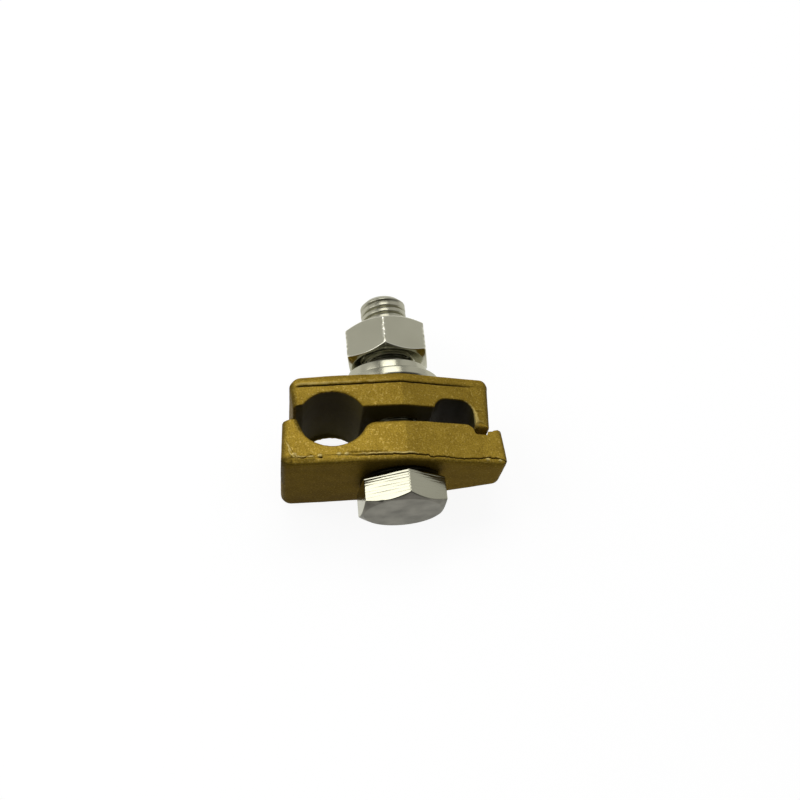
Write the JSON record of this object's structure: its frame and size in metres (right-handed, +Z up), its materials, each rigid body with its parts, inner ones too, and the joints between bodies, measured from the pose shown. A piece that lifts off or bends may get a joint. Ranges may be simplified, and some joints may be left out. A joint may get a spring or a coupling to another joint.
{
  "type": "parallel groove clamp",
  "caption": "Bolted clamp of forged brass jaws with a large and a small parallel groove; a hex bolt, nut and washers draw the jaws together on a pair of conductors.",
  "frame": {"origin": "centre of the box on the surface that the clamp lies on, under its back faces", "axes": "+X along the jaws towards the small groove, +Y along the bolt from head to nut, +Z up along the conductors"},
  "size_m": [0.0468, 0.0492, 0.0233],
  "materials": {
    "forged_brass": "as forged, fine blasted grain",
    "bright_steel": "polished stainless"
  },
  "bodies": {
    "lower_jaw": {"lower_jaw": "forged_brass"},
    "upper_jaw": {"upper_jaw": "forged_brass"},
    "bolt": {"bolt": "bright_steel"},
    "washers": {"flat_washer": "bright_steel", "spring_washer": "bright_steel"},
    "nut": {"nut": "bright_steel"}
  },
  "joints": [
    {"name": "bolt_turn", "type": "hinge", "parent": "lower_jaw", "child": "bolt", "pos_m": [0.00118, 0, 0.01165], "axis": [0, 1, 0], "continuous": true},
    {"name": "washer_slide", "type": "slide", "parent": "bolt", "child": "washers", "axis": [0, 1, 0], "range_m": [-0.00156, 0.00601]},
    {"name": "nut_turn", "type": "hinge", "parent": "washers", "child": "nut", "pos_m": [0.00118, 0, 0.01165], "axis": [0, 1, 0], "range_deg": [-373, 1441]},
    {"name": "jaw_slide", "type": "slide", "parent": "lower_jaw", "child": "upper_jaw", "axis": [0, 1, 0], "range_m": [-0.00155, 0.006]}
  ],
  "couplings": [
    {"joint": "washer_slide", "follows": "jaw_slide", "ratio": 1},
    {"joint": "nut_turn", "follows": "jaw_slide", "rad_per_m": 4188.8}
  ]
}
